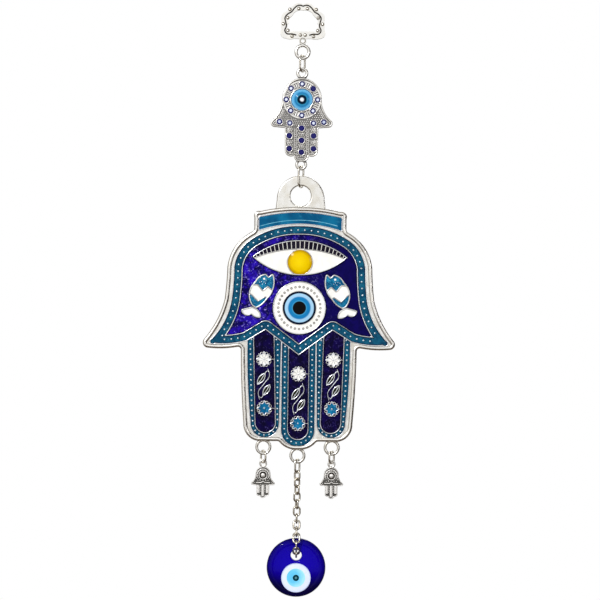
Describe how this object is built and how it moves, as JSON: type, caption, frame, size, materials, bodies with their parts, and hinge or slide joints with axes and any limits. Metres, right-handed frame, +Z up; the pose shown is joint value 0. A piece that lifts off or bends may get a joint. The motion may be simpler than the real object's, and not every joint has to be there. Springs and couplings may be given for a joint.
{
  "type": "hamsa hand ornament",
  "caption": "Hanging metal hand ornament with enamelled cells, a smaller crystal-set hand above it, charms, and a glass eye bead on a chain.",
  "frame": {"origin": "the point inside the top of the hanger that a nail bears on, in the middle of the hanger's thickness", "axes": "+Z up along the hanging axis, -Y out of the enamelled front, +X to the viewer's right"},
  "size_m": [0.098, 0.0136, 0.3026],
  "materials": {
    "cast_silver": "bright cast white metal, rounded rim, faint casting ripple",
    "antique_silver": "cast white metal with dark patina in its hollows",
    "link_wire": "bright plated wire",
    "chain_wire": "plated fine chain wire",
    "teal_enamel": "glossy teal enamel",
    "collar_blue_enamel": "glossy blue enamel with lighter streaks",
    "cobalt_enamel": "glossy cobalt enamel, foil-like highlights",
    "indigo_enamel": "glossy deep indigo enamel",
    "white_enamel": "glossy white enamel",
    "black_enamel": "glossy black enamel",
    "olive_enamel": "glossy dark olive enamel",
    "navy_crystal": "faceted navy crystal",
    "pale_blue_glass": "opaque pale blue glass",
    "dark_blue_glass": "opaque dark blue glass",
    "black_glass": "opaque black glass, polished",
    "yellow_glass": "opaque yellow glass dome, polished",
    "navy_glass": "opaque navy glass, polished",
    "light_blue_glass": "opaque light blue glass, polished",
    "mid_blue_glass": "opaque mid blue glass, polished",
    "cobalt_glass": "deep cobalt glass, darker at its lower edge",
    "white_glass": "opaque white glass drop",
    "sky_glass": "opaque sky blue glass drop",
    "teal_glass": "dark teal glass drop with a light centre"
  },
  "bodies": {
    "hanger": {"hanger": "cast_silver"},
    "upper_link": {"upper_link": "link_wire"},
    "connector": {"connector_plate": "cast_silver", "connector_crystals": "navy_crystal", "connector_eye_rim": "pale_blue_glass", "connector_eye_ring": "dark_blue_glass", "connector_eye_pupil": "black_glass"},
    "middle_link": {"middle_link": "link_wire"},
    "hand": {"hand_plate": "cast_silver", "enamel_collar": "collar_blue_enamel", "enamel_eye_ring": "white_enamel", "enamel_eye_white": "white_enamel", "enamel_finger_border_left": "teal_enamel", "enamel_finger_border_middle": "teal_enamel", "enamel_finger_border_right": "teal_enamel", "enamel_finger_field_left": "indigo_enamel", "enamel_finger_field_middle": "indigo_enamel", "enamel_finger_field_right": "indigo_enamel", "enamel_fish_teal": "teal_enamel", "enamel_fish_white": "white_enamel", "enamel_flowers_blue": "collar_blue_enamel", "enamel_flowers_white": "white_enamel", "enamel_lashes": "black_enamel", "enamel_leaves": "olive_enamel", "enamel_palm_border": "teal_enamel", "enamel_palm_field": "cobalt_enamel", "eye_navy": "navy_glass", "eye_light": "light_blue_glass", "eye_middle": "mid_blue_glass", "eye_pupil": "black_glass", "eye_iris": "yellow_glass"},
    "left_charm_link": {"left_charm_link": "link_wire"},
    "left_charm": {"left_charm": "antique_silver"},
    "right_charm_link": {"right_charm_link": "link_wire"},
    "right_charm": {"right_charm": "antique_silver"},
    "drop_link": {"drop_link": "link_wire"},
    "chain_link_01": {"chain_link_01": "chain_wire"},
    "chain_link_02": {"chain_link_02": "chain_wire"},
    "chain_link_03": {"chain_link_03": "chain_wire"},
    "chain_link_04": {"chain_link_04": "chain_wire"},
    "chain_link_05": {"chain_link_05": "chain_wire"},
    "chain_link_06": {"chain_link_06": "chain_wire"},
    "chain_link_07": {"chain_link_07": "chain_wire"},
    "bead": {"bead_chain_loop": "chain_wire", "bead_glass": "cobalt_glass", "bead_white": "white_glass", "bead_sky": "sky_glass", "bead_pupil": "teal_glass"}
  },
  "joints": [
    {"name": "upper_link_swing", "type": "hinge", "parent": "hanger", "child": "upper_link", "pos_m": [0, 0, -0.0245], "axis": [1, 0, 0], "range_deg": [-60, 60]},
    {"name": "connector_swing", "type": "hinge", "parent": "upper_link", "child": "connector", "pos_m": [0, 0, -0.0313], "axis": [0, 1, 0], "range_deg": [-45, 45]},
    {"name": "middle_link_swing", "type": "hinge", "parent": "connector", "child": "middle_link", "pos_m": [0, 0, -0.08095], "axis": [-1, 0, 0], "range_deg": [-35, 35]},
    {"name": "hand_swing", "type": "hinge", "parent": "middle_link", "child": "hand", "pos_m": [0, 0, -0.09025], "axis": [0, -1, 0], "range_deg": [-30, 30]},
    {"name": "left_charm_link_swing", "type": "hinge", "parent": "hand", "child": "left_charm_link", "pos_m": [-0.01743, 0, -0.2262], "axis": [1, 0, 0], "range_deg": [-60, 60]},
    {"name": "left_charm_swing", "type": "hinge", "parent": "left_charm_link", "child": "left_charm", "pos_m": [-0.01743, 0, -0.2309], "axis": [0, 1, 0], "range_deg": [-40, 40]},
    {"name": "right_charm_link_swing", "type": "hinge", "parent": "hand", "child": "right_charm_link", "pos_m": [0.01743, 0, -0.2262], "axis": [1, 0, 0], "range_deg": [-60, 60]},
    {"name": "right_charm_swing", "type": "hinge", "parent": "right_charm_link", "child": "right_charm", "pos_m": [0.01743, 0, -0.2309], "axis": [0, 1, 0], "range_deg": [-40, 40]},
    {"name": "drop_link_swing", "type": "hinge", "parent": "hand", "child": "drop_link", "pos_m": [0, 0, -0.23042], "axis": [1, 0, 0], "range_deg": [-60, 60]},
    {"name": "chain_link_01_swing", "type": "hinge", "parent": "drop_link", "child": "chain_link_01", "pos_m": [0, 0, -0.23592], "axis": [0.5, 0.866, 0], "range_deg": [-60, 60]},
    {"name": "chain_link_02_swing", "type": "hinge", "parent": "chain_link_01", "child": "chain_link_02", "pos_m": [0, 0, -0.23954], "axis": [-0.7818, 0.6235, 0], "range_deg": [-60, 60]},
    {"name": "chain_link_03_swing", "type": "hinge", "parent": "chain_link_02", "child": "chain_link_03", "pos_m": [0, 0, -0.24318], "axis": [-0.7331, -0.6802, 0], "range_deg": [-60, 60]},
    {"name": "chain_link_04_swing", "type": "hinge", "parent": "chain_link_03", "child": "chain_link_04", "pos_m": [0, 0, -0.24682], "axis": [0.5633, -0.8262, 0], "range_deg": [-60, 60]},
    {"name": "chain_link_05_swing", "type": "hinge", "parent": "chain_link_04", "child": "chain_link_05", "pos_m": [0, 0, -0.25046], "axis": [0.901, 0.4339, 0], "range_deg": [-60, 60]},
    {"name": "chain_link_06_swing", "type": "hinge", "parent": "chain_link_05", "child": "chain_link_06", "pos_m": [0, 0, -0.2541], "axis": [-0.2948, 0.9556, 0], "range_deg": [-60, 60]},
    {"name": "chain_link_07_swing", "type": "hinge", "parent": "chain_link_06", "child": "chain_link_07", "pos_m": [0, 0, -0.25774], "axis": [-0.9888, -0.149, 0], "range_deg": [-60, 60]},
    {"name": "bead_swing", "type": "hinge", "parent": "chain_link_07", "child": "bead", "pos_m": [0, 0, -0.26138], "axis": [0, 1, 0], "range_deg": [-40, 40]}
  ]
}
